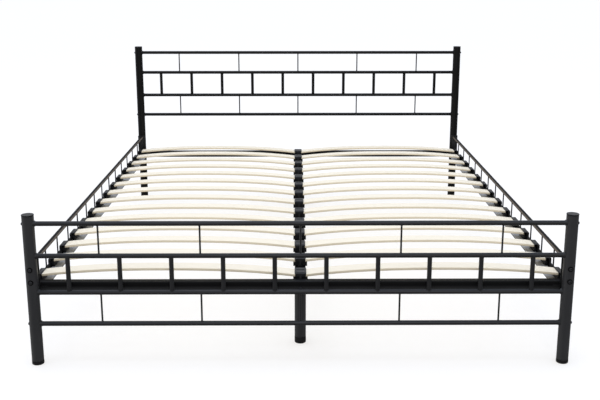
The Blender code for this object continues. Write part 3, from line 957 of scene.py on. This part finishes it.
def birch_edge():
    """The bare edge: thin plies, alternately long grain and end grain, sealed but a little rough."""
    material, surface, place = start_material("birch_edge")
    depth = place.node("ShaderNodeAttribute", {}, {"attribute_name": "depth"}, out="Fac")
    end_grain = (depth * (PLIES / 2)).fraction().ramp(0.46, 0.54)
    fibre = place.stretch((120.0, 1800.0, 1800.0)).noise(1.0, 3.0)
    # Painted shade: the lowest part of the edge, which faces down, darkened.
    low_edge_shade = depth.ramp(0.27, 0.05)
    tone = place.mix(end_grain * 0.3, (0.74, 0.65, 0.48, 1), (0.62, 0.52, 0.36, 1))
    tone = place.mix(fibre * 0.16, tone, (0.56, 0.46, 0.34, 1))
    tone = place.mix(low_edge_shade * 0.9, tone, (0.34, 0.27, 0.185, 1))
    place.feed(surface, {
        "Base Color": tone,
        "Roughness": 0.62 + fibre * 0.15,
        "Specular IOR Level": 0.30,
        "Normal": (fibre + end_grain * 0.3).bump(0.25, 0.0003),
    })
    return material


FACE = birch_face()
EDGE = birch_edge()


def slat(side):
    """One pressed slat at y = 0, with its depth through the plies kept as an attribute."""
    bm = bmesh.new()
    length = SLAT_TIP - SLAT_ROOT
    matrix = Matrix.Diagonal((length, SLAT_WIDTH, SLAT_THICKNESS, 1.0))
    bmesh.ops.create_cube(bm, size=1.0, matrix=matrix)
    bmesh.ops.bevel(
        bm, geom=bm.edges, offset=SLAT_EASE, segments=3, profile=0.5, affect="EDGES", material=-1
    )
    along = [edge for edge in bm.edges if abs(edge.verts[0].co.x - edge.verts[1].co.x) > length / 2]
    bmesh.ops.subdivide_edges(bm, edges=along, cuts=SLAT_CUTS)
    bmesh.ops.recalc_face_normals(bm, faces=bm.faces)
    for face in bm.faces:
        face.material_index = 0 if abs(face.normal.z) > FACE_LEVEL else 1
    depth = bm.verts.layers.float.new("depth")
    out = -1 if side == "left" else 1
    for vert in bm.verts:
        reach = 2 * vert.co.x / length
        vert[depth] = vert.co.z / SLAT_THICKNESS + 0.5
        crown = SLAT_CROWN * (1 - abs(reach) ** SLAT_FLATNESS)
        vert.co.z += SLAT_END_HEIGHT + SLAT_END_TILT * reach * out + crown
    centre = (SLAT_TIP + SLAT_ROOT) / 2
    shift(bm, (-centre if side == "left" else centre, 0, 0))
    return bm


for side in SIDES:
    for number, y in enumerate(SLAT_PLACES, start=1):
        bm = slat(side)
        shift(bm, (0, y, 0))
        node = f"slat_{side}_{number:02d}"
        finish_piece(f"birch_{node}", bm, [FACE, EDGE], [node])


# ---- Floor, light and camera -----------------------------------------------------------------------------
# A pale studio floor that gives off a little light of its own, so it stays white under the frame. A broad
# soft sky that is brightest overhead, two soft lamps, and a long-lens camera at the foot end.

FLOOR_HALF = 60.0
CAMERA_PLACE = (-0.0179, -3.6259, 1.2066)
CAMERA_LENS = 54.165
CAMERA_SHIFT = -0.0238
CAMERA_DOWN = 0.24147
CAMERA_TURN = -0.00617


def studio_floor():
    material, surface, place = start_material("studio_floor")
    mottle = place.noise(0.8, 2.0)
    tone = place.mix(mottle, (0.395, 0.395, 0.395, 1), (0.405, 0.405, 0.405, 1))
    place.feed(surface, {"Base Color": tone, "Roughness": 0.85, "Specular IOR Level": 0.0})
    place.feed(surface, {"Emission Color": (1.0, 0.975, 0.93, 1.0), "Emission Strength": 0.62})
    return material


bm = bmesh.new()
bmesh.ops.create_grid(bm, x_segments=1, y_segments=1, size=FLOOR_HALF)
mesh = bpy.data.meshes.new("floor")
bm.to_mesh(mesh)
bm.free()
mesh.materials.append(studio_floor())
floor = bpy.data.objects.new("floor", mesh)
bpy.context.scene.collection.objects.link(floor)
floor.visible_glossy = False

world = bpy.data.worlds.new("studio")
world.use_nodes = True
bpy.context.scene.world = world
sky = Wire(world.node_tree)
view = sky.node("ShaderNodeTexCoord", {}, out="Generated")
across, along, height = (view.part(axis) for axis in "XYZ")
low_band = height.ramp(0.55, 0.05)
behind = along.ramp(0.1, 0.9) * low_band
before = (0.0 - along).ramp(0.1, 0.8) * low_band
above = height.ramp(0.0, 1.0) * 0.35 + 0.80
over = above + behind * 0.45 - before * 0.30
under = across * across * (0.22 - across * 0.20) + 0.16
split = height.ramp(-0.03, 0.03)
strength = over * split + under * (1 - split)
tint = sky.mix(height.ramp(0.25, 0.9), (1.0, 1.0, 1.0, 1), (0.84, 0.95, 1.20, 1))
sky.feed(world.node_tree.nodes["Background"], {"Color": tint, "Strength": strength})


def soft_light(name, place, target, size, power):
    data = bpy.data.lights.new(name, "AREA")
    data.shape = "DISK"
    data.size = size
    data.energy = power
    light = bpy.data.objects.new(name, data)
    light.location = place
    light.rotation_euler = (Vector(target) - Vector(place)).to_track_quat("-Z", "Y").to_euler()
    bpy.context.scene.collection.objects.link(light)


soft_light("front_light", (0.3, -5.5, 2.0), (0, -0.5, 0.3), 3.0, 34.0)
soft_light("top_light", (-0.6, -0.4, 5.0), (0, 0, 0.2), 3.6, 60.0)

camera_data = bpy.data.cameras.new("camera")
camera_data.sensor_width = 36.0
camera_data.lens = CAMERA_LENS
camera_data.shift_y = CAMERA_SHIFT
camera = bpy.data.objects.new("camera", camera_data)
camera.location = CAMERA_PLACE
camera.rotation_euler = (pi / 2 - CAMERA_DOWN, 0.0, CAMERA_TURN)
bpy.context.scene.collection.objects.link(camera)
bpy.context.scene.camera = camera
bpy.context.scene.view_settings.view_transform = "Standard"
